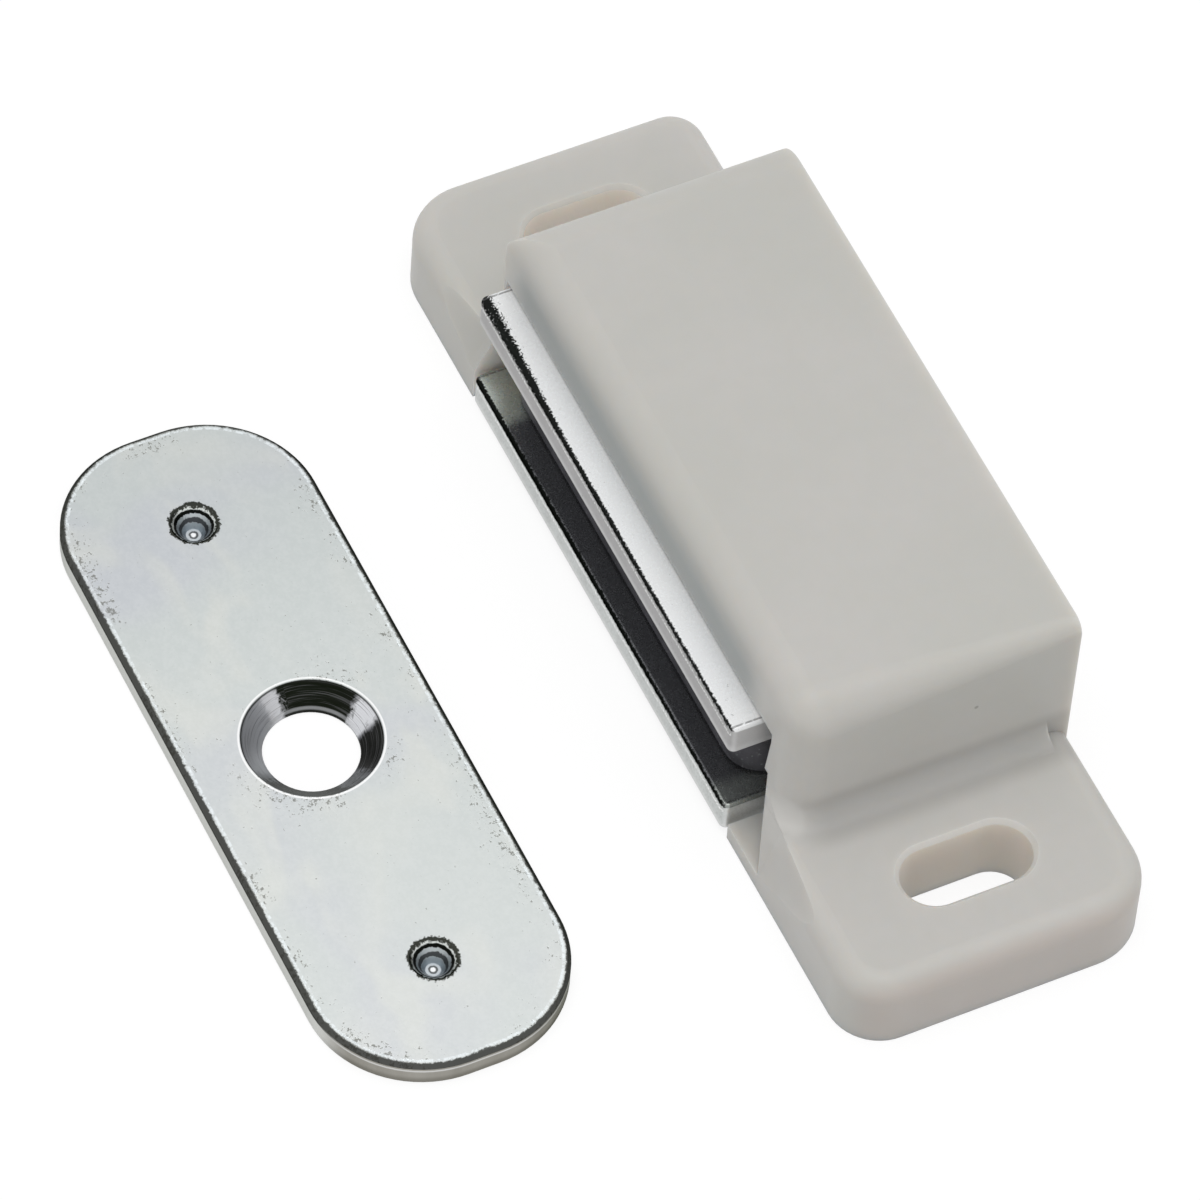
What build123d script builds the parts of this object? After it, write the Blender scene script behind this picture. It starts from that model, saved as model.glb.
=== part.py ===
from build123d import *
import os

# Magnetic catch for a cabinet door: a moulded housing that holds a loose magnet
# pack, and the strike plate that goes on the door.
# Millimetres. X runs along the catch, Y from its pole tips to its back, Z up
# from the surface that the catch is screwed to. The origin is on that surface,
# midway between the two screw slots.

# Housing: the base, whose two ends are the ears
base_width = 17.2
near_ear_length = 11.0
far_ear_length = 9.9
ear_thickness = 4.4
ear_near_corner_radius = 2.7
ear_far_corner_radius = 3.5
ear_back_near_radius = 3.5
ear_back_far_radius = 1.9
ear_edge_radius = 1.3

# Housing: the raised block over the magnet pack
housing_height = 12.9
near_wall = 2.5
far_wall = 0.55
block_setback = 1.5
block_front_edge_radius = 1.8
block_end_edge_radius = 2.2
block_back_near_radius = 0.8
block_far_corner_radius = 0.4
foot_radius = 1.2
back_wall = 1.6

# Housing: the slopes that lead from each ear's front face to the block's wall
near_slope_low_z = 1.1
near_slope_high_z = 5.6
near_slope_length = 5.4
far_slope_low_z = 2.2
far_slope_high_z = 5.2
far_slope_length = 4.0

# How far a cut runs past the face that it starts from
cutter_margin = 0.6
tip_margin = 0.1

# How far an edge may lie from the place where it is looked for
search_margin = 0.1

# Housing: the low ledge beside the near end of the lower pole plate
ledge_height = 1.1
ledge_length = 2.6

# Screw slots in the ears
slot_from_end = 5.55
slot_width = 3.5
slot_length = 7.1
slot_edge_bevel = 0.25
slot_back_shift = 0.15

# Magnet pack: two pole plates with a magnet between them
pole_length = 29.7
pole_thickness = 2.0
pole_corner_radius = 0.4
pole_tip_reach = 0.15
pole_edge_radius = 0.25
magnet_height = 4.6
magnet_end_inset = 1.05
magnet_front_inset = 1.45
magnet_back_inset = 1.6
magnet_corner_radius = 2.0
magnet_edge_radius = 0.2

# Clearances that let the pack rock in its pocket
pack_lift = 0.2
pack_far_gap = 0.25
pack_near_gap = 1.1
pack_ledge_gap = 0.3
pack_back_gap = 0.4
pack_top_gap = 0.3

# Locating ribs on the pocket's end walls, and the notches that take them
rib_radius = 0.8
rib_bite = 0.5
rib_gap = 0.4
rib_from_back = 6.0
rib_root = 0.2

# Small wedge nib at the near side of the pocket's mouth
nib_reach = 0.35
nib_width = 1.2
nib_bottom = 5.8
nib_top = 8.4

# Strike plate
strike_length = 41.5
strike_width = 13.7
strike_thickness = 1.3
strike_corner_radius = 6.0
strike_edge_bevel = 0.2
strike_hole_radius = 2.5
strike_countersink_radius = 3.65
strike_countersink_angle = 90
dimple_spacing = 29.2
dimple_mouth_radius = 1.25
dimple_step_depth = 0.3
dimple_step_radius = 0.9
dimple_pit_radius = 0.4
dimple_pit_depth = 1.0
strike_gap = 10.15
strike_shift = 0.2

# Places that follow from the sizes above
base_centre_y = -slot_back_shift
front_y = base_centre_y - base_width / 2
back_y = base_centre_y + base_width / 2
wall_front_y = front_y + block_setback
pocket_length = pack_far_gap + pole_length + pack_near_gap
block_length = far_wall + pocket_length + near_wall
base_length = far_ear_length + block_length + near_ear_length
near_end_x = base_length / 2 - near_ear_length
far_end_x = near_end_x - block_length
block_centre_x = (near_end_x + far_end_x) / 2
slot_x = base_length / 2 - slot_from_end
slab_depth = base_width - ear_edge_radius

pocket_back_y = back_y - back_wall
pole_back_y = pocket_back_y - pack_back_gap
pole_front_y = front_y - pole_tip_reach
pole_depth = pole_back_y - pole_front_y
pole_centre_y = (pole_front_y + pole_back_y) / 2
pocket_near_x = near_end_x - near_wall
pocket_far_x = far_end_x + far_wall
pole_near_x = pocket_near_x - pack_near_gap
pole_far_x = pocket_far_x + pack_far_gap
pack_centre_x = (pole_near_x + pole_far_x) / 2
lower_pole_z = pack_lift
magnet_z = lower_pole_z + pole_thickness
upper_pole_z = magnet_z + magnet_height
pack_top_z = upper_pole_z + pole_thickness

pocket_height = pack_top_z + pack_top_gap
pocket_depth = pocket_back_y - front_y
pocket_step_x = pole_near_x + pack_ledge_gap
rib_y = pocket_back_y - rib_from_back
rib_near_x = pole_near_x - rib_bite + rib_radius
rib_far_x = pole_far_x + rib_bite - rib_radius

near_slope_x = pocket_near_x + ledge_length
near_slope_tip_x = near_slope_x + near_slope_length
far_slope_x = far_end_x
far_slope_tip_x = far_slope_x - far_slope_length
tip_inset = ear_edge_radius * (2 - 2**0.5)
tip_low_z = ear_thickness - tip_inset
tip_high_y = front_y + tip_inset

magnet_front_y = pole_front_y + magnet_front_inset
magnet_back_y = pole_back_y - magnet_back_inset
magnet_depth = magnet_back_y - magnet_front_y
magnet_centre_y = (magnet_front_y + magnet_back_y) / 2

strike_y = front_y - strike_gap - strike_width / 2


def corner_waste(end_x, outward, depth_y, radius):
    """What rounding one of the block's top corners takes off it, at one depth."""
    inner_x = end_x - outward * radius
    outer_x = end_x + outward * cutter_margin
    outer_z = housing_height + cutter_margin
    with BuildSketch(Plane.XZ.offset(-depth_y)) as waste:
        with BuildLine():
            RadiusArc(
                (inner_x, housing_height),
                (end_x, housing_height - radius),
                outward * radius,
            )
            Polyline(
                (end_x, housing_height - radius),
                (outer_x, housing_height - radius),
                (outer_x, outer_z),
                (inner_x, outer_z),
                (inner_x, housing_height),
            )
        make_face()
    return waste.sketch.face()


def facet_waste(section_x, low_z, high_y, high_z):
    """What a slope between these two points takes off the housing's front."""
    with BuildSketch(Plane.YZ.offset(section_x)) as waste:
        with BuildLine():
            Polyline(
                (front_y, low_z),
                (high_y, high_z),
                (front_y - cutter_margin, high_z),
                (front_y - cutter_margin, low_z),
                close=True,
            )
        make_face()
    return waste.sketch.face()


# The raised block with the blend at its foot, above the base's top face
with BuildPart() as block_form:
    with BuildSketch():
        with Locations((block_centre_x, wall_front_y)):
            Rectangle(block_length, back_y - wall_front_y, align=(Align.CENTER, Align.MIN))
    extrude(amount=housing_height)
    front_waste = corner_waste(near_end_x, 1, wall_front_y, block_end_edge_radius)
    back_waste = corner_waste(near_end_x, 1, back_y, block_back_near_radius)
    loft([front_waste, back_waste], mode=Mode.SUBTRACT)
    front_rim = block_form.faces().sort_by(Axis.Y)[0].edges()
    # The far upright corner stays almost sharp
    front_rim.remove(front_rim.sort_by(Axis.X)[0])
    fillet(front_rim.sort_by(Axis.Z)[1:], block_front_edge_radius)
    far_rim = block_form.faces().sort_by(Axis.X)[0].edges().sort_by(Axis.Y)
    fillet(far_rim[0], block_far_corner_radius)
    far_waste = corner_waste(far_end_x, -1, wall_front_y, block_end_edge_radius)
    extrude(far_waste, amount=wall_front_y - back_y, mode=Mode.SUBTRACT)
    with BuildSketch() as slab_plan:
        with Locations((0, front_y)):
            Rectangle(base_length, slab_depth, align=(Align.CENTER, Align.MIN))
    extrude(amount=ear_thickness)
    slab_top = block_form.faces().filter_by(Plane.XY).group_by(Axis.Z)[1]
    foot = slab_top.edges()
    foot = foot.filter_by_position(Axis.X, far_end_x - search_margin, near_end_x + search_margin)
    foot = foot.filter_by_position(Axis.Y, wall_front_y - search_margin, slab_depth / 2)
    fillet(foot, foot_radius)
    extrude(slab_plan.sketch, amount=ear_thickness, mode=Mode.SUBTRACT)

# The whole moulded housing
with BuildPart() as housing:
    with BuildSketch() as base_plan:
        with Locations((0, base_centre_y)):
            Rectangle(base_length, base_width)
        for row, end, corner_radius in (
            (0, 0, ear_far_corner_radius),
            (0, -1, ear_near_corner_radius),
            (-1, 0, ear_back_far_radius),
            (-1, -1, ear_back_near_radius),
        ):
            corners = base_plan.vertices().group_by(Axis.Y)[row].sort_by(Axis.X)
            fillet(corners[end], corner_radius)
    extrude(amount=ear_thickness)
    fillet(housing.faces().sort_by(Axis.Z)[-1].edges(), ear_edge_radius)
    add(block_form.part)

    # In front of the block's ends the front face slopes back to meet the wall
    for slope_x, tip_x, inner_x, low_z, high_z in (
        (near_slope_x, near_slope_tip_x, pocket_near_x, near_slope_low_z, near_slope_high_z),
        (far_slope_x, far_slope_tip_x, pocket_far_x, far_slope_low_z, far_slope_high_z),
    ):
        steep = facet_waste(slope_x, low_z, wall_front_y, high_z)
        tip = facet_waste(tip_x, tip_low_z, tip_high_y, ear_thickness + tip_margin)
        loft([steep, tip], mode=Mode.SUBTRACT)
        extrude(steep, amount=inner_x - slope_x, mode=Mode.SUBTRACT)

    # The pocket, open at the front and at the mounting face, with a low step
    for low_z, end_x in ((0, pocket_step_x), (ledge_height, pocket_near_x)):
        with BuildSketch(Plane.XY.offset(low_z)):
            with Locations((pocket_far_x, front_y)):
                Rectangle(end_x - pocket_far_x, pocket_depth, align=(Align.MIN, Align.MIN))
        extrude(amount=pocket_height - low_z, mode=Mode.SUBTRACT)

    # The low ledge beside the near end of the lower pole plate
    with BuildSketch(Plane.XY.offset(ledge_height)):
        with BuildLine():
            Polyline(
                (pocket_near_x - cutter_margin, wall_front_y),
                (pocket_near_x, wall_front_y),
                (pocket_near_x + ledge_length, front_y),
                (pocket_near_x + ledge_length, front_y - cutter_margin),
                (pocket_near_x - cutter_margin, front_y - cutter_margin),
                close=True,
            )
        make_face()
    extrude(amount=housing_height, mode=Mode.SUBTRACT)

    # Locating ribs on the pocket's end walls
    with BuildSketch():
        for tip_x, root_x in (
            (rib_near_x, pocket_near_x + rib_root),
            (rib_far_x, pocket_far_x - rib_root),
        ):
            with Locations((tip_x, rib_y)):
                Circle(rib_radius)
            with Locations(((tip_x + root_x) / 2, rib_y)):
                Rectangle(abs(root_x - tip_x), 2 * rib_radius)
    extrude(amount=pocket_height)

    # The wedge nib at the pocket's mouth
    with BuildSketch(Plane.XZ.offset(-wall_front_y)):
        with BuildLine():
            Polyline(
                (pocket_near_x + cutter_margin, nib_bottom),
                (pocket_near_x - nib_reach, nib_bottom),
                (pocket_near_x, nib_top),
                (pocket_near_x + cutter_margin, nib_top),
                close=True,
            )
        make_face()
    extrude(amount=-nib_width)

    # The screw slots run across the ears
    with BuildSketch():
        with Locations((slot_x, 0), (-slot_x, 0)):
            SlotOverall(slot_length, slot_width, rotation=90)
    extrude(amount=ear_thickness, mode=Mode.SUBTRACT)
    ear_tops = housing.faces().filter_by(Plane.XY).filter_by_position(
        Axis.Z, ear_thickness - search_margin, ear_thickness + search_margin
    )
    chamfer([wire.edges() for face in ear_tops for wire in face.inner_wires()], slot_edge_bevel)

housing.part.label = "housing"


def pole_plate(bottom_z):
    """One pole plate: a flat plate with a notch in each end for the ribs."""
    with BuildPart() as plate:
        with BuildSketch(Plane.XY.offset(bottom_z)) as plan:
            with Locations((pack_centre_x, pole_centre_y)):
                Rectangle(pole_length, pole_depth)
            fillet(plan.vertices(), pole_corner_radius)
        extrude(amount=pole_thickness)
        fillet(plate.faces().filter_by(Plane.XY).edges(), pole_edge_radius)
        with BuildSketch(Plane.XY.offset(bottom_z)):
            with Locations((rib_near_x, rib_y), (rib_far_x, rib_y)):
                Circle(rib_radius + rib_gap)
        extrude(amount=pole_thickness, mode=Mode.SUBTRACT)
    return plate.part


lower_pole_plate = pole_plate(lower_pole_z)
lower_pole_plate.label = "lower_pole_plate"
upper_pole_plate = pole_plate(upper_pole_z)
upper_pole_plate.label = "upper_pole_plate"

# The magnet, a little shorter and shallower than the plates
with BuildPart() as magnet:
    with BuildSketch(Plane.XY.offset(magnet_z)) as magnet_plan:
        with Locations((pack_centre_x, magnet_centre_y)):
            Rectangle(pole_length - 2 * magnet_end_inset, magnet_depth)
        fillet(magnet_plan.vertices(), magnet_corner_radius)
    extrude(amount=magnet_height)
    chamfer(magnet.faces().filter_by(Plane.XY).edges(), magnet_edge_radius)
magnet.part.label = "magnet"

# The strike plate, lying beside the housing
with BuildPart() as strike_plate:
    with BuildSketch() as strike_plan:
        with Locations((strike_shift, strike_y)):
            Rectangle(strike_length, strike_width)
        fillet(strike_plan.vertices(), strike_corner_radius)
    extrude(amount=strike_thickness)
    chamfer(strike_plate.faces().sort_by(Axis.Z)[-1].edges(), strike_edge_bevel)
    with Locations((strike_shift, strike_y, strike_thickness)):
        CounterSinkHole(
            strike_hole_radius,
            strike_countersink_radius,
            counter_sink_angle=strike_countersink_angle,
        )
    # Two punched dimples, each a sloped rim over a steeper pit
    for dimple_x in (strike_shift - dimple_spacing / 2, strike_shift + dimple_spacing / 2):
        with BuildSketch(Plane((dimple_x, strike_y, strike_thickness), x_dir=(1, 0, 0), z_dir=(0, -1, 0))):
            with BuildLine():
                Polyline((0, -dimple_pit_depth), (0, 0), (dimple_mouth_radius, 0))
                Polyline(
                    (dimple_mouth_radius, 0),
                    (dimple_step_radius, -dimple_step_depth),
                    (dimple_pit_radius, -dimple_pit_depth),
                    (0, -dimple_pit_depth),
                )
            make_face()
        dimple_axis = Axis((dimple_x, strike_y, strike_thickness), (0, 0, 1))
        revolve(axis=dimple_axis, mode=Mode.SUBTRACT)
strike_plate.part.label = "strike_plate"

os.makedirs("parts", exist_ok=True)
for part in (
    housing.part,
    upper_pole_plate,
    lower_pole_plate,
    magnet.part,
    strike_plate.part,
):
    export_step(part, "parts/" + part.label + ".step")
    print(part.label, len(part.solids()), part.is_valid, round(part.volume, 1))
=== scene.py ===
import math

import bpy
from mathutils import Matrix, Vector


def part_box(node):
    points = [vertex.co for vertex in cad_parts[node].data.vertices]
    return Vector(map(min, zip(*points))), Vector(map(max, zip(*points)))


# Looks, light and camera for the magnetic catch and its strike plate.
# Metres, in the same frame as the solids: X along the catch, Y to its back, Z up.
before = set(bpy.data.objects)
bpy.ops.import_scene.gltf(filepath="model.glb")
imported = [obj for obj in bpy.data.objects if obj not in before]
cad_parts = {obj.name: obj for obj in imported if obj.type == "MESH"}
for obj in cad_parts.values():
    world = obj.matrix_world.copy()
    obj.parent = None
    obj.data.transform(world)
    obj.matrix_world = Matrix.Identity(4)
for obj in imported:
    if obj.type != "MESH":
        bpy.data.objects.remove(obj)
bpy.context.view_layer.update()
mm = 0.001

# Places read from the solids
housing_low, housing_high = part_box("housing")
plate_low, plate_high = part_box("upper_pole_plate")
plate_centre = (plate_low + plate_high) / 2
plate_half_length = (plate_high.x - plate_low.x) / 2
lower_plate_low, lower_plate_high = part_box("lower_pole_plate")
strike_low, strike_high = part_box("strike_plate")
strike_centre = (strike_low + strike_high) / 2

# Sizes that the painted details follow
slot_from_end = 5.55 * mm
slot_half_width = 1.75 * mm
base_thickness = 4.4 * mm
far_ear_length = 9.9 * mm
near_ear_length = 11.0 * mm
strike_corner_radius = 6.0 * mm
strike_edge_bevel = 0.2 * mm
slot_half_length = 3.55 * mm
plate_edge_radius = 0.25 * mm
countersink_radius = 3.65 * mm
mouth_height = 9.4 * mm
block_front = -7.25 * mm
blend_tip = Vector((16.10 * mm, -7.58 * mm, 4.50 * mm))
dimple_spacing = 29.2 * mm
dimple_radius = 1.25 * mm
hole_radius = 2.5 * mm

# Painted reflection rings down each dimple: radius and half width in mm, strength, tone
dimple_reflection_rings = (
    (1.10, 0.05, 0.95, (0.620, 0.650, 0.630, 1)),
    (0.96, 0.06, 1.00, (0.005, 0.006, 0.005, 1)),
    (0.82, 0.04, 0.95, (0.520, 0.560, 0.580, 1)),
    (0.68, 0.06, 0.90, (0.020, 0.023, 0.027, 1)),
    (0.48, 0.09, 0.95, (0.330, 0.370, 0.400, 1)),
    (0.30, 0.06, 0.95, (0.520, 0.560, 0.590, 1)),
    (0.20, 0.03, 0.80, (0.010, 0.012, 0.012, 1)),
    (0.00, 0.10, 1.00, (0.920, 0.930, 0.940, 1)),
)

# Painted reflections and shade in the countersink: middle and half width in degrees from +X, softness, tone
countersink_reflections = (
    (-30, 30, 14, (0.022, 0.028, 0.022, 1)),
    (236, 42, 14, (0.400, 0.410, 0.435, 1)),
    (190, 11, 8, (0.620, 0.625, 0.650, 1)),
    (101, 13, 9, (0.740, 0.750, 0.780, 1)),
    (62, 20, 10, (0.012, 0.012, 0.011, 1)),
    (150, 34, 7, (0.006, 0.008, 0.004, 1)),
)

# Camera: a long lens, placed by its direction from the target
camera_target = Vector((-2.65 * mm, -8.27 * mm, 0))
camera_azimuth = math.radians(-29.38)
camera_elevation = math.radians(53.74)
camera_roll = math.radians(4.94)
camera_distance = 0.5095
camera_lens_mm = 299.3
camera_sensor_mm = 36

# Light
sky_strength = 0.64
lamp_size = 0.45
lamp_power = 1.10
lamp_place = Vector((0.05, -0.04, 0.58))
floor_size = 4.0
floor_glow = 0.84
floor_paint = 0.20
floor_bounce = 0.75


class Tree:
    """A material's node tree, with short calls for the nodes used here."""

    def __init__(self, owner):
        owner.use_nodes = True
        self.nodes = owner.node_tree.nodes
        self.links = owner.node_tree.links
        self.nodes.clear()

    def add(self, kind, sockets=None, **settings):
        node = self.nodes.new(kind)
        for name, value in settings.items():
            setattr(node, name, value)
        for name, value in (sockets or {}).items():
            self.feed(node.inputs[name], value)
        return node

    def feed(self, socket, value):
        if isinstance(value, bpy.types.NodeSocket):
            self.links.new(value, socket)
        else:
            socket.default_value = value

    def math(self, operation, first, second=0.0, third=0.0, clamp=False):
        node = self.add("ShaderNodeMath", {0: first, 1: second, 2: third}, operation=operation)
        node.use_clamp = clamp
        return node.outputs[0]

    def plus(self, first, second):
        return self.math("ADD", first, second)

    def minus(self, first, second):
        return self.math("SUBTRACT", first, second)

    def times(self, first, second):
        return self.math("MULTIPLY", first, second)

    def step(self, value, low, high):
        """0 below low, 1 above high, smooth between; falls instead where low is above high."""
        rises = low < high
        node = self.add(
            "ShaderNodeMapRange",
            {"Value": value, "From Min": min(low, high), "From Max": max(low, high)},
            interpolation_type="SMOOTHSTEP",
        )
        self.feed(node.inputs["To Min"], 0.0 if rises else 1.0)
        self.feed(node.inputs["To Max"], 1.0 if rises else 0.0)
        return node.outputs["Result"]

    def band(self, value, centre, half_width, softness):
        """1 within half_width of centre, falling to 0 over the softness."""
        away = self.math("ABSOLUTE", self.minus(value, centre))
        return self.step(away, half_width + softness, half_width)

    def mix(self, factor, first, second):
        node = self.add("ShaderNodeMix", data_type="RGBA")
        self.feed(node.inputs[0], factor)
        self.feed(node.inputs[6], first)
        self.feed(node.inputs[7], second)
        return node.outputs[2]

    def combined(self, first, second, third):
        node = self.add("ShaderNodeCombineXYZ", {0: first, 1: second, 2: third})
        return node.outputs[0]

    def noise(self, place, scale, detail=2.0, roughness=0.5, distortion=0.0):
        sockets = {
            "Vector": place,
            "Scale": scale,
            "Detail": detail,
            "Roughness": roughness,
            "Distortion": distortion,
        }
        return self.add("ShaderNodeTexNoise", sockets).outputs["Fac"]

    def stretched(self, place, scale):
        node = self.add("ShaderNodeMapping", {"Vector": place, "Scale": scale})
        return node.outputs["Vector"]

    def bump(self, height, strength, distance, normal=None):
        node = self.add(
            "ShaderNodeBump", {"Height": height, "Strength": strength, "Distance": distance}
        )
        if normal is not None:
            self.feed(node.inputs["Normal"], normal)
        return node.outputs["Normal"]


def new_material(name):
    """A material with its place and normal on the object, split into parts."""
    material = bpy.data.materials.new(name)
    tree = Tree(material)
    coords = tree.add("ShaderNodeTexCoord")
    place = coords.outputs["Object"]
    split = tree.add("ShaderNodeSeparateXYZ", {"Vector": place})
    facing = tree.add("ShaderNodeSeparateXYZ", {"Vector": coords.outputs["Normal"]})
    return material, tree, place, split.outputs, facing.outputs


def finish_material(tree, sockets):
    shader = tree.add("ShaderNodeBsdfPrincipled", sockets)
    tree.add("ShaderNodeOutputMaterial", {"Surface": shader.outputs["BSDF"]})


def grey(value, warm=0.0):
    """A grey, with a little more red and less blue where warm is above 0."""
    return (value * (1 + warm), value, value * (1 - warm), 1.0)


def radius_from(tree, split, centre_x, centre_y):
    """Distance in plan from an upright axis."""
    away_x = tree.minus(split["X"], centre_x)
    away_y = tree.minus(split["Y"], centre_y)
    squares = tree.plus(tree.times(away_x, away_x), tree.times(away_y, away_y))
    return tree.math("SQRT", squares)


def depth_in_plate(tree, split, low, high, corner_radius):
    """How far inside a round-cornered plate's outline a point lies, in plan."""
    centre = (low + high) / 2
    half = (high - low) / 2
    over_x = tree.minus(
        tree.math("ABSOLUTE", tree.minus(split["X"], centre.x)), half.x - corner_radius
    )
    over_y = tree.minus(
        tree.math("ABSOLUTE", tree.minus(split["Y"], centre.y)), half.y - corner_radius
    )
    out_x = tree.math("MAXIMUM", over_x, 0.0)
    out_y = tree.math("MAXIMUM", over_y, 0.0)
    corner = tree.math("SQRT", tree.plus(tree.times(out_x, out_x), tree.times(out_y, out_y)))
    inner = tree.math("MINIMUM", tree.math("MAXIMUM", over_x, over_y), 0.0)
    return tree.minus(corner_radius, tree.plus(corner, inner))


def plastic_material():
    """Warm pale moulded plastic that lets a little light in."""
    material, tree, place, split, facing = new_material("moulded_plastic")
    cloud = tree.step(tree.noise(place, 70, 3), 0.35, 0.65)
    colour = tree.mix(cloud, (0.565, 0.560, 0.528, 1), (0.590, 0.578, 0.553, 1))
    fine = tree.step(tree.noise(place, 900, 4), 0.3, 0.7)
    colour = tree.mix(tree.times(fine, 0.18), colour, (0.540, 0.535, 0.505, 1))

    # Painted light: the slots' walls are painted paler and warmer than the outside, the near slot's lighter
    # than the far slot's
    from_slot = tree.math(
        "ABSOLUTE",
        tree.minus(tree.math("ABSOLUTE", split["X"]), housing_high.x - slot_from_end),
    )
    in_slot = tree.step(from_slot, slot_half_width + 0.3 * mm, slot_half_width)
    along_slot = tree.step(
        tree.math("ABSOLUTE", split["Y"]), slot_half_length + 0.3 * mm, slot_half_length
    )
    upright = tree.step(tree.math("ABSOLUTE", facing["Z"]), 0.6, 0.3)
    wall = tree.times(tree.times(in_slot, along_slot), upright)
    near_side = tree.step(split["X"], -1.0 * mm, 1.0 * mm)
    slot_wall_light_tone = tree.mix(near_side, (0.930, 0.885, 0.830, 1), (0.825, 0.775, 0.710, 1))
    colour = tree.mix(tree.times(wall, 0.9), colour, slot_wall_light_tone)

    # The slots' rounded rims catch a little light
    near_slot = tree.step(from_slot, slot_half_width + 0.7 * mm, slot_half_width + 0.4 * mm)
    rounded = tree.band(tree.math("ABSOLUTE", facing["Z"]), 0.75, 0.14, 0.10)
    slot_rim = tree.times(tree.times(near_slot, along_slot), rounded)
    colour = tree.mix(tree.times(slot_rim, 0.45), colour, (0.760, 0.745, 0.715, 1))

    # Painted shade makes the faces at the near end a touch darker and pinker, and painted light makes the cut
    # beside the lower plate's far end paler
    near_end = tree.step(facing["X"], 0.4, 0.9)
    near_end_shade = tree.times(near_end, tree.step(split["X"], housing_high.x - 3 * mm, housing_high.x - 1 * mm))
    colour = tree.mix(tree.times(near_end_shade, 0.6), colour, (0.560, 0.505, 0.468, 1))
    beside_lower = tree.step(split["X"], lower_plate_low.x + 1.0 * mm, lower_plate_low.x + 0.3 * mm)
    front_cut = tree.step(split["Y"], lower_plate_low.y + 4.5 * mm, lower_plate_low.y + 3.0 * mm)
    cut_wall_light = tree.times(tree.times(near_end, beside_lower), front_cut)
    colour = tree.mix(tree.times(cut_wall_light, 0.8), colour, (0.900, 0.885, 0.860, 1))

    # Painted shade darkens the blend where the block meets each ear
    near_foot = tree.band(
        split["X"], housing_high.x - near_ear_length + 0.5 * mm, 0.7 * mm, 1.2 * mm
    )
    far_foot = tree.band(split["X"], housing_low.x + far_ear_length, 0.7 * mm, 1.0 * mm)
    foot_shade = tree.math("MAXIMUM", near_foot, tree.times(far_foot, 0.6))
    low_down = tree.band(split["Z"], base_thickness + 0.4 * mm, 0.5 * mm, 1.1 * mm)
    low_down = tree.times(low_down, tree.step(split["Y"], -7.4 * mm, -5.2 * mm))
    colour = tree.mix(
        tree.times(tree.times(foot_shade, low_down), 0.38), colour, (0.330, 0.318, 0.300, 1)
    )

    # Painted shade: a blue-grey band darkens the wall above the pocket's mouth
    mouth_shade = tree.band(split["Z"], mouth_height, 0.9 * mm, 2.4 * mm)
    in_front = tree.step(split["Y"], housing_low.y + 3.6 * mm, housing_low.y + 1.8 * mm)
    beside = tree.band(split["X"], plate_centre.x, plate_half_length - 2.4 * mm, 2.6 * mm)
    mouth_shade = tree.times(mouth_shade, tree.times(in_front, beside))
    colour = tree.mix(tree.times(mouth_shade, 0.68), colour, (0.270, 0.300, 0.305, 1))

    # A few dust specks in the moulding
    cells = tree.add(
        "ShaderNodeTexVoronoi", {"Vector": place, "Scale": 150, "Randomness": 1.0}
    )
    speck = tree.step(cells.outputs["Distance"], 0.022, 0.012)
    colour = tree.mix(tree.times(speck, 0.55), colour, (0.20, 0.19, 0.17, 1))

    roughness = tree.plus(0.40, tree.times(tree.noise(place, 400, 3), 0.12))
    normal = tree.bump(tree.noise(place, 2600, 3), 0.10, 0.02 * mm)
    normal = tree.bump(tree.noise(place, 130, 2), 0.12, 0.10 * mm, normal)

    # No light passes in where the foot's blend runs out to a thin tip, which would look blue
    from_tip = tree.add("ShaderNodeVectorMath", {0: place, 1: blend_tip}, operation="DISTANCE")
    off_tip = tree.step(from_tip.outputs["Value"], 1.1 * mm, 1.6 * mm)
    sockets = {
        "Base Color": colour,
        "Roughness": roughness,
        "IOR": 1.49,
        "Subsurface Weight": tree.times(off_tip, 0.75),
        "Subsurface Scale": 1.6 * mm,
        "Subsurface Radius": (1.0, 0.80, 0.62),
        "Normal": normal,
    }
    finish_material(tree, sockets)
    return material


def zinc_colour(tree, place):
    """Zinc plating: silver, with faint green, violet and straw patches."""
    violet = tree.step(tree.noise(place, 85, 2, 0.5, 0.6), 0.42, 0.66)
    straw_place = tree.stretched(place, (1.0, 1.6, 1.0))
    straw = tree.step(tree.noise(straw_place, 120, 2, 0.5, 0.9), 0.46, 0.68)
    colour = tree.mix(violet, (0.558, 0.594, 0.586, 1), (0.535, 0.558, 0.588, 1))
    return tree.mix(tree.times(straw, 0.8), colour, (0.625, 0.642, 0.612, 1))


def zinc_grain(tree, place):
    """The plating's fine frosted grain, from 0 to 1."""
    fine = tree.noise(place, 5200, 3, 0.6)
    coarse = tree.noise(place, 1500, 3, 0.55)
    return tree.plus(tree.times(fine, 0.6), tree.times(coarse, 0.4))


def turn_round_hole(tree, place, split):
    """The angle round the strike plate's hole, and a noise streaked along its rings."""
    away_x = tree.minus(split["X"], strike_centre.x)
    away_y = tree.minus(split["Y"], strike_centre.y)
    turn = tree.math("ARCTAN2", away_y, away_x)
    chatter = tree.noise(place, 1400, 4, 0.65, 1.0)
    return turn, chatter


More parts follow.
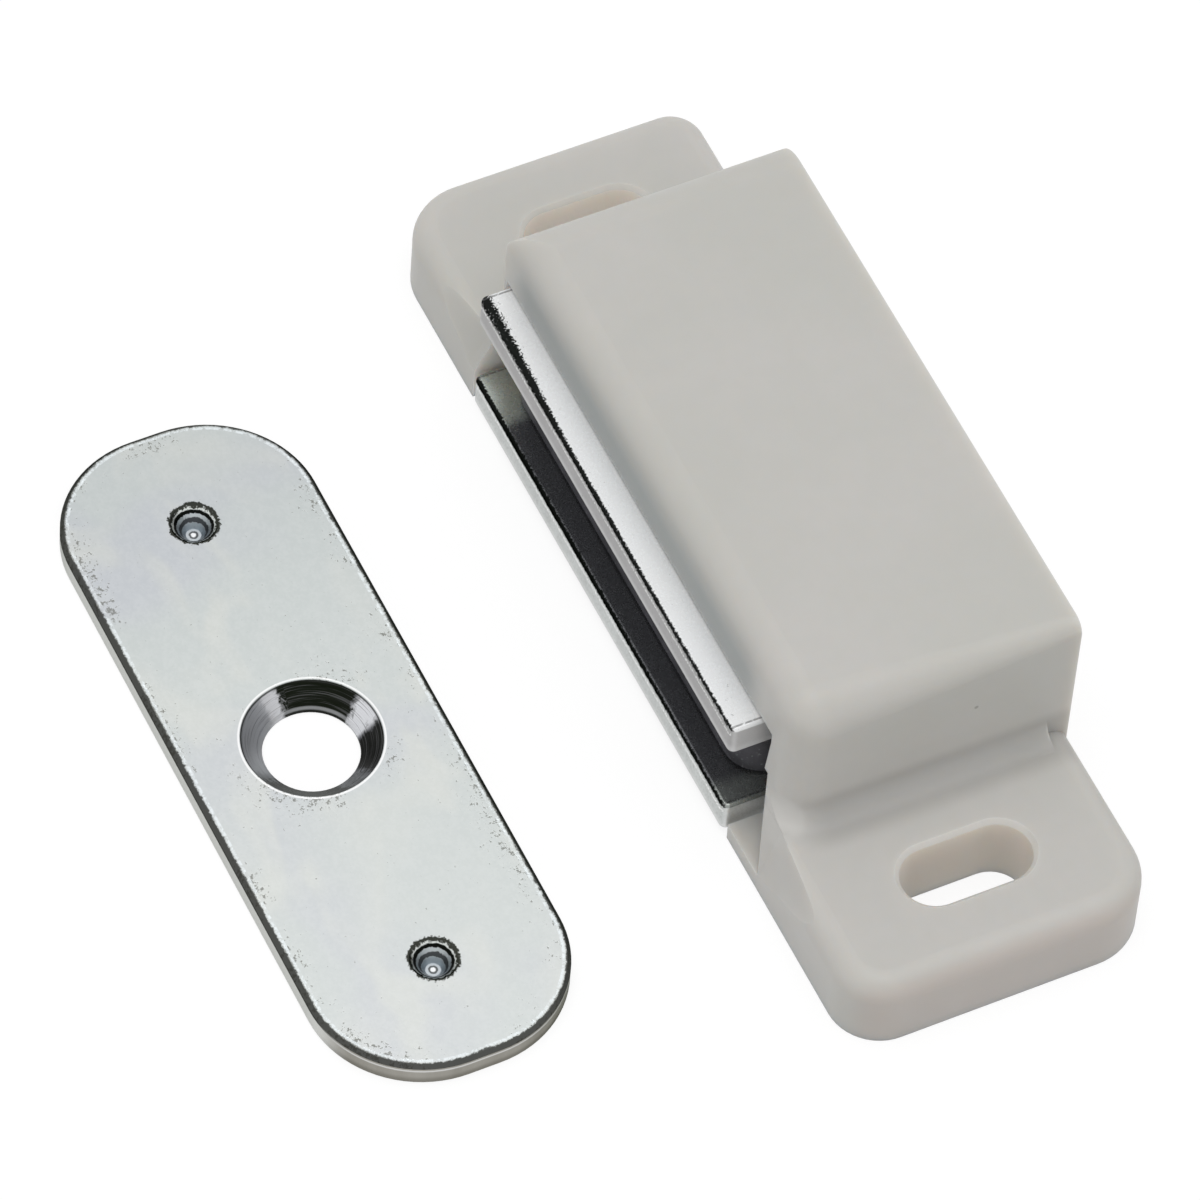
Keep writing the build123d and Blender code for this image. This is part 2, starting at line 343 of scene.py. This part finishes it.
def strike_material():
    """The strike plate: plated face, rolled rim, cut wall, countersink and dimples."""
    material, tree, place, split, facing = new_material("strike_steel")
    grain = zinc_grain(tree, place)
    colour = zinc_colour(tree, place)
    colour = tree.mix(tree.times(tree.step(grain, 0.40, 0.62), 0.10), colour, grey(0.86))
    # Painted light makes the plate lighter towards its near end, and painted shade darkens its far end
    near_end_light = tree.step(split["X"], strike_low.x, strike_high.x)
    colour = tree.mix(tree.times(near_end_light, 0.30), colour, (0.760, 0.785, 0.770, 1))
    far_shade = tree.step(split["X"], strike_centre.x - 3 * mm, strike_low.x)
    colour = tree.mix(tree.times(far_shade, 0.22), colour, (0.380, 0.410, 0.425, 1))
    depth = depth_in_plate(tree, split, strike_low, strike_high, strike_corner_radius)
    hole = radius_from(tree, split, strike_centre.x, strike_centre.y)
    speck_noise = tree.noise(place, 4200, 4, 0.7)

    # Pits: many close to the rim and round the countersink, few elsewhere
    near_rim = tree.step(depth, 2.0 * mm, 0.3 * mm)
    near_hole = tree.times(tree.step(hole, 5.8 * mm, 3.7 * mm), 0.85)
    patchy = tree.step(tree.noise(place, 260, 2), 0.38, 0.62)
    crowd = tree.times(tree.math("MAXIMUM", near_rim, near_hole), patchy)
    pit_level = tree.plus(speck_noise, tree.times(crowd, 0.178))
    pits = tree.step(pit_level, 0.675, 0.72)
    colour = tree.mix(tree.times(pits, 0.72), colour, (0.15, 0.15, 0.13, 1))

    # Painted shade: the rim that rolls over is painted as a dark band with a ragged inner border, with a
    # painted highlight line just inside it
    ragged = tree.times(tree.minus(speck_noise, 0.5), 0.40 * mm)
    rim_reach = strike_edge_bevel + 0.06 * mm
    rim = tree.step(tree.plus(depth, ragged), rim_reach + 0.05 * mm, rim_reach - 0.04 * mm)
    flat = tree.step(facing["Z"], 0.80, 0.96)
    fringe_highlight = tree.times(
        tree.band(depth, rim_reach + 0.13 * mm, 0.04 * mm, 0.07 * mm),
        tree.step(speck_noise, 0.42, 0.56),
    )
    colour = tree.mix(tree.times(fringe_highlight, 0.6), colour, (0.88, 0.94, 0.97, 1))
    colour = tree.mix(tree.times(rim, 0.92), colour, (0.034, 0.034, 0.029, 1))
    # The cut walls: streaked, with painted shade towards the floor; the walls not facing +X are painted pale
    # as light, with a band of painted shade under the rim, and the walls facing +X get a painted highlight
    # line
    upright = tree.step(tree.math("ABSOLUTE", facing["Z"]), 0.55, 0.25)
    streaks = tree.noise(tree.stretched(place, (900, 900, 60)), 1.0, 3)
    cut = tree.mix(streaks, (0.300, 0.285, 0.255, 1), (0.470, 0.455, 0.420, 1))
    foot_shade = tree.step(split["Z"], 0.55 * mm, 0.1 * mm)
    cut = tree.mix(tree.times(foot_shade, 0.55), cut, (0.16, 0.15, 0.13, 1))
    lit_side_walls = tree.step(facing["X"], 0.55, 0.10)
    shade_band_depth = tree.plus(tree.times(tree.step(facing["X"], -0.1, -0.8), 0.8 * mm), 0.34 * mm)
    from_top = tree.minus(strike_high.z, split["Z"])
    shade_band = tree.times(lit_side_walls, tree.step(tree.minus(from_top, shade_band_depth), 0.06 * mm, -0.06 * mm))
    cut = tree.mix(tree.times(lit_side_walls, 0.90), cut, (0.900, 0.900, 0.885, 1))
    cut = tree.mix(tree.times(shade_band, 0.94), cut, (0.024, 0.024, 0.020, 1))
    line = tree.times(
        tree.band(split["Z"], 0.93 * mm, 0.03 * mm, 0.06 * mm), tree.minus(1.0, lit_side_walls)
    )
    cut = tree.mix(tree.times(line, 0.7), cut, grey(0.85))
    outside = tree.step(depth, 0.6 * mm, 0.3 * mm)
    colour = tree.mix(tree.times(upright, outside), colour, cut)

    # The countersink: fine turned rings, with painted reflections and shade making some sides darker and
    # others lighter
    cone = tree.step(hole, countersink_radius, countersink_radius - 0.05 * mm)
    turn, chatter = turn_round_hole(tree, place, split)
    rings = tree.noise(tree.combined(tree.times(hole, 9.0), tree.times(turn, 0.35 * mm), 0.0), 1900, 3, 0.6)
    rings_and_reflections = tree.mix(tree.step(chatter, 0.30, 0.70), (0.120, 0.122, 0.132, 1), (0.260, 0.262, 0.285, 1))
    for middle, half, soft, tone in countersink_reflections:
        away = tree.math("ABSOLUTE", tree.minus(turn, math.radians(middle)))
        away = tree.math("MINIMUM", away, tree.minus(2 * math.pi, away))
        torn = tree.plus(away, tree.times(tree.minus(chatter, 0.5), 0.5))
        spread = tree.step(torn, math.radians(half + soft), math.radians(half))
        rings_and_reflections = tree.mix(spread, rings_and_reflections, tone)
    streak = tree.step(rings, 0.50, 0.62)
    rings_and_reflections = tree.mix(tree.times(streak, 0.16), rings_and_reflections, (0.40, 0.40, 0.42, 1))
    rings_and_reflections = tree.mix(tree.times(tree.step(rings, 0.46, 0.38), 0.45), rings_and_reflections, (0.015, 0.015, 0.014, 1))
    # Painted highlights on the hole's lower edge at the far side and on the lip outside the cone, and a
    # painted dark line round the cone's outer edge
    lower_lip_highlight = tree.band(hole, hole_radius + 0.10 * mm, 0.03 * mm, 0.06 * mm)
    lower_lip_highlight = tree.times(lower_lip_highlight, tree.step(split["X"], strike_centre.x, strike_centre.x - 1.5 * mm))
    rings_and_reflections = tree.mix(tree.times(lower_lip_highlight, 0.55), rings_and_reflections, (0.42, 0.43, 0.44, 1))
    outline = tree.band(hole, countersink_radius - 0.05 * mm, 0.02 * mm, 0.05 * mm)
    rings_and_reflections = tree.mix(tree.times(outline, 0.85), rings_and_reflections, (0.012, 0.013, 0.010, 1))
    colour = tree.mix(cone, colour, rings_and_reflections)
    lip_highlight = tree.band(hole, countersink_radius + 0.07 * mm, 0.02 * mm, 0.06 * mm)
    colour = tree.mix(tree.times(lip_highlight, 0.8), colour, grey(0.97))

    # The dimples: a ragged burr painted dark as shade, then painted bright and dark reflection rings down to
    # a painted glint in the pit
    burr_shade_total = 0.0
    for side in (-1, 1):
        centre_x = strike_centre.x + side * dimple_spacing / 2
        away = radius_from(tree, split, centre_x, strike_centre.y)
        torn = tree.plus(away, tree.times(tree.minus(speck_noise, 0.5), 0.6 * mm))
        burr_shade = tree.band(torn, dimple_radius - 0.02 * mm, 0.08 * mm, 0.07 * mm)
        shaken = tree.plus(away, tree.times(tree.minus(speck_noise, 0.5), 0.16 * mm))
        burr_shade_total = tree.math("MAXIMUM", burr_shade_total, burr_shade)
        for ring_radius, half, strength, tone in dimple_reflection_rings:
            ring = tree.band(shaken, ring_radius * mm, half * mm, 0.04 * mm)
            colour = tree.mix(tree.times(ring, strength), colour, tone)
    colour = tree.mix(tree.times(burr_shade_total, 0.96), colour, (0.020, 0.022, 0.015, 1))

    dull = tree.math("MAXIMUM", tree.times(upright, outside), rim)
    roughness = tree.plus(0.27, tree.times(grain, 0.10))
    roughness = tree.plus(roughness, tree.times(dull, 0.14))
    normal = tree.bump(grain, 0.10, 0.012 * mm)
    height = tree.times(pits, -1.0)
    normal = tree.bump(tree.times(height, flat), 0.35, 0.02 * mm, normal)
    dark_parts = tree.math("MAXIMUM", tree.math("MAXIMUM", rim, burr_shade_total), cone)
    sockets = {
        "Base Color": colour,
        "Metallic": tree.minus(1.0, tree.times(cone, 0.40)),
        "Specular Tint": tree.mix(dark_parts, (1, 1, 1, 1), (0.16, 0.19, 0.16, 1)),
        "Roughness": roughness,
        "Normal": normal,
    }
    finish_material(tree, sockets)
    return material


def pole_material(name, low, high, top_light_tone, front_light_tone, far_reach, metal, shaded_from=None):
    """A pole plate: frosted plated top, front edge painted dark as shade, sheared front; the tones given
    carry painted light and shade.
    """
    material, tree, place, split, facing = new_material(name)
    grain = zinc_grain(tree, place)
    colour = tree.mix(0.15, top_light_tone, zinc_colour(tree, place))
    speck_noise = tree.noise(place, 3600, 4, 0.7)
    from_front = tree.minus(split["Y"], low.y)
    below_top = tree.minus(high.z, split["Z"])
    along = tree.step(split["X"], high.x, low.x)
    far_part = tree.step(split["X"], low.x + 11 * mm, low.x + 1 * mm)

    # Away from its far end the lower plate's top is painted dark as shade by the magnet standing on it
    if shaded_from is not None:
        shaded = tree.plus(split["X"], tree.times(tree.minus(speck_noise, 0.5), 1.0 * mm))
        past = tree.step(shaded, shaded_from - 0.5 * mm, shaded_from + 0.4 * mm)
        before = tree.step(shaded, high.x - 1.0 * mm, high.x - 2.0 * mm)
        shaded = tree.times(past, tree.plus(tree.times(before, 0.5), 0.5))
        colour = tree.mix(tree.times(shaded, 0.92), colour, (0.108, 0.108, 0.120, 1))

    # Specks thicken towards the front edge and the far end
    crowd = tree.times(tree.step(from_front, 1.5 * mm, 0.3 * mm), tree.plus(0.02, tree.times(far_part, 0.05)))
    specks = tree.step(tree.plus(speck_noise, crowd), 0.685, 0.72)
    colour = tree.mix(tree.times(specks, 0.70), colour, (0.20, 0.21, 0.20, 1))

    # The sheared front and end faces, streaked and chipped, with painted light on the end faces and towards
    # the bottom edge
    upright = tree.step(tree.math("ABSOLUTE", facing["Z"]), 0.45, 0.20)
    streaks = tree.noise(tree.stretched(place, (1400, 1400, 160)), 1.0, 3)
    cut = tree.mix(tree.times(streaks, 0.5), front_light_tone, grey(0.30))
    edge_noise = tree.noise(place, 8500, 4, 0.7)
    cut = tree.mix(tree.times(tree.step(edge_noise, 0.46, 0.60), 0.40), cut, (0.33, 0.34, 0.32, 1))
    lit_end_faces = tree.step(tree.math("ABSOLUTE", facing["X"]), 0.5, 0.9)
    cut = tree.mix(tree.times(lit_end_faces, 0.35), cut, grey(0.85))
    lit_bottom_edge = tree.step(split["Z"], low.z + 0.75 * mm, low.z + 0.30 * mm)
    cut = tree.mix(tree.times(lit_bottom_edge, 0.45), cut, grey(0.80))
    chips = tree.step(tree.noise(place, 2400, 3, 0.7), 0.66, 0.72)
    cut = tree.mix(tree.times(chips, 0.5), cut, (0.12, 0.12, 0.12, 1))
    colour = tree.mix(upright, colour, cut)

    # Painted shade: the edge between top and front is painted black and ragged, wider towards the far end,
    # above a dotted painted highlight on the front
    torn = tree.plus(0.40 * mm, tree.times(far_part, 3.0 * far_reach))
    ragged = tree.times(tree.minus(edge_noise, 0.5), torn)
    top_reach = tree.plus(
        plate_edge_radius * 0.52,
        tree.plus(tree.times(along, 0.07 * mm), tree.times(far_part, far_reach)),
    )
    front_reach = tree.plus(plate_edge_radius * 0.65, tree.times(along, 0.08 * mm))
    over_top = tree.step(tree.minus(tree.plus(from_front, ragged), top_reach), 0.05 * mm, -0.02 * mm)
    over_front = tree.step(tree.minus(tree.plus(below_top, ragged), front_reach), 0.05 * mm, -0.02 * mm)
    band = tree.times(over_top, over_front)
    dotted_highlight = tree.times(
        tree.band(below_top, 0.48 * mm, 0.08 * mm, 0.06 * mm),
        tree.step(tree.noise(place, 9000, 2), 0.46, 0.54),
    )
    at_front = tree.step(from_front, 0.12 * mm, 0.04 * mm)
    colour = tree.mix(tree.times(tree.times(dotted_highlight, at_front), 0.75), colour, grey(0.97))
    colour = tree.mix(tree.times(band, 0.99), colour, (0.004, 0.005, 0.004, 1))

    # A painted highlight line where the top meets the plastic
    contact_highlight = tree.band(split["Y"], block_front - 0.05 * mm, 0.05 * mm, 0.07 * mm)
    contact_highlight = tree.times(contact_highlight, tree.step(facing["Z"], 0.6, 0.9))
    if shaded_from is None:
        colour = tree.mix(tree.times(contact_highlight, 0.8), colour, grey(1.0))

    # A thin line of painted shade where the top rolls over at each end
    from_end = tree.math(
        "MINIMUM", tree.minus(split["X"], low.x), tree.minus(high.x, split["X"])
    )
    end_shade_line = tree.band(from_end, plate_edge_radius, 0.03 * mm, 0.05 * mm)
    on_top = tree.step(facing["Z"], 0.4, 0.8)
    end_shade_line = tree.times(tree.times(end_shade_line, on_top), tree.step(speck_noise, 0.38, 0.5))
    colour = tree.mix(tree.times(end_shade_line, 0.7), colour, (0.10, 0.10, 0.10, 1))

    roughness = tree.plus(0.20, tree.times(grain, 0.14))
    roughness = tree.plus(roughness, tree.times(upright, 0.16))
    normal = tree.bump(grain, 0.08, 0.015 * mm)
    normal = tree.bump(tree.times(specks, -1.0), 0.30, 0.02 * mm, normal)
    sockets = {
        "Base Color": colour,
        "Metallic": tree.plus(metal, tree.times(band, 1.0 - metal)),
        "Specular Tint": tree.mix(band, (1, 1, 1, 1), (0.03, 0.03, 0.03, 1)),
        "Roughness": roughness,
        "Normal": normal,
    }
    finish_material(tree, sockets)
    return material


def ferrite_material():
    """A sintered ferrite block: nearly black, matt, with small pale grains."""
    material, tree, place, split, facing = new_material("ferrite")
    cloud = tree.step(tree.noise(place, 500, 4, 0.6), 0.35, 0.65)
    colour = tree.mix(cloud, (0.040, 0.040, 0.046, 1), (0.074, 0.072, 0.084, 1))
    grains = tree.step(tree.noise(place, 5200, 3, 0.65), 0.60, 0.68)
    colour = tree.mix(tree.times(grains, 0.55), colour, (0.24, 0.25, 0.26, 1))
    roughness = tree.plus(0.42, tree.times(tree.noise(place, 1800, 3), 0.25))
    sockets = {
        "Base Color": colour,
        "Roughness": roughness,
        "Normal": tree.bump(tree.noise(place, 3200, 4, 0.7), 0.35, 0.03 * mm),
    }
    finish_material(tree, sockets)
    return material


def dress(node_name, material):
    """Gives one CAD node its material."""
    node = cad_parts[node_name]
    node.data.materials.clear()
    node.data.materials.append(material)


def shows_background(tree):
    """1 for the rays that see the background: camera, glossy and transmission."""
    rays = tree.add("ShaderNodeLightPath").outputs
    seen = tree.math("MAXIMUM", rays["Is Camera Ray"], rays["Is Glossy Ray"])
    return tree.math("MAXIMUM", seen, rays["Is Transmission Ray"])


def build_floor():
    """A plain white floor that keeps the object's shadow."""
    material = bpy.data.materials.new("floor_white")
    tree = Tree(material)
    glow = tree.add("ShaderNodeEmission", {"Color": grey(1.0), "Strength": floor_glow})
    paint = tree.add("ShaderNodeBsdfDiffuse", {"Color": grey(floor_paint)})
    bounce = tree.add("ShaderNodeBsdfDiffuse", {"Color": grey(floor_bounce)})
    seen = tree.add("ShaderNodeAddShader", {0: glow.outputs[0], 1: paint.outputs[0]})
    surface = tree.add(
        "ShaderNodeMixShader",
        {0: shows_background(tree), 1: bounce.outputs[0], 2: seen.outputs[0]},
    )
    tree.add("ShaderNodeOutputMaterial", {"Surface": surface.outputs[0]})

    half = floor_size / 2
    mesh = bpy.data.meshes.new("floor")
    corners = [(-half, -half, 0), (half, -half, 0), (half, half, 0), (-half, half, 0)]
    mesh.from_pydata(corners, [], [(0, 1, 2, 3)])
    mesh.materials.append(material)
    floor = bpy.data.objects.new("floor", mesh)
    floor.location.z = -0.05 * mm
    bpy.context.scene.collection.objects.link(floor)


def build_light():
    """A white sky and one large soft lamp overhead."""
    world = bpy.data.worlds.new("studio")
    bpy.context.scene.world = world
    tree = Tree(world)
    seen = shows_background(tree)
    strength = tree.plus(sky_strength, tree.times(seen, 1.0 - sky_strength))
    sky = tree.add("ShaderNodeBackground", {"Color": grey(1.0), "Strength": strength})
    tree.add("ShaderNodeOutputWorld", {"Surface": sky.outputs[0]})

    lamp = bpy.data.lights.new("softbox", "AREA")
    lamp.shape = "SQUARE"
    lamp.size = lamp_size
    lamp.energy = lamp_power
    holder = bpy.data.objects.new("softbox", lamp)
    holder.location = lamp_place
    holder.rotation_mode = "QUATERNION"
    holder.rotation_quaternion = lamp_place.to_track_quat("Z", "Y")
    bpy.context.scene.collection.objects.link(holder)


def build_camera():
    """The camera, turned by its roll about its own view direction."""
    level = Vector((math.cos(camera_azimuth), math.sin(camera_azimuth), 0))
    back = level * math.cos(camera_elevation) + Vector((0, 0, math.sin(camera_elevation)))
    right = Vector((0, 0, 1)).cross(back).normalized()
    up = back.cross(right)
    turn = Matrix.Rotation(camera_roll, 3, back)
    axes = Matrix((turn @ right, turn @ up, back)).transposed()
    data = bpy.data.cameras.new("camera")
    data.sensor_width = camera_sensor_mm
    data.lens = camera_lens_mm
    data.clip_start = 0.01
    data.clip_end = 20
    camera = bpy.data.objects.new("camera", data)
    camera.matrix_world = axes.to_4x4()
    camera.location = camera_target + back * camera_distance
    bpy.context.scene.collection.objects.link(camera)
    bpy.context.scene.camera = camera


# Painted light and shade: the plates' one plated steel gets a lit top tone on the upper plate and a shaded
# one on the lower, a shaded front on the upper plate and a lit front on the lower
upper_top_light = (0.97, 0.98, 0.99, 1)
upper_front_shade = (0.47, 0.46, 0.465, 1)
lower_top_shade = (0.44, 0.48, 0.44, 1)
lower_front_light = (0.66, 0.69, 0.68, 1)
dress("housing", plastic_material())
dress("strike_plate", strike_material())
dress(
    "upper_pole_plate",
    pole_material(
        "upper_pole_steel", plate_low, plate_high, upper_top_light, upper_front_shade, 0.30 * mm, 0.10
    ),
)
dress(
    "lower_pole_plate",
    pole_material(
        "lower_pole_steel",
        lower_plate_low,
        lower_plate_high,
        lower_top_shade,
        lower_front_light,
        0.0,
        0.85,
        lower_plate_low.x + 3.6 * mm,
    ),
)
dress("magnet", ferrite_material())

build_floor()
build_light()
build_camera()
bpy.context.scene.view_settings.view_transform = "Standard"
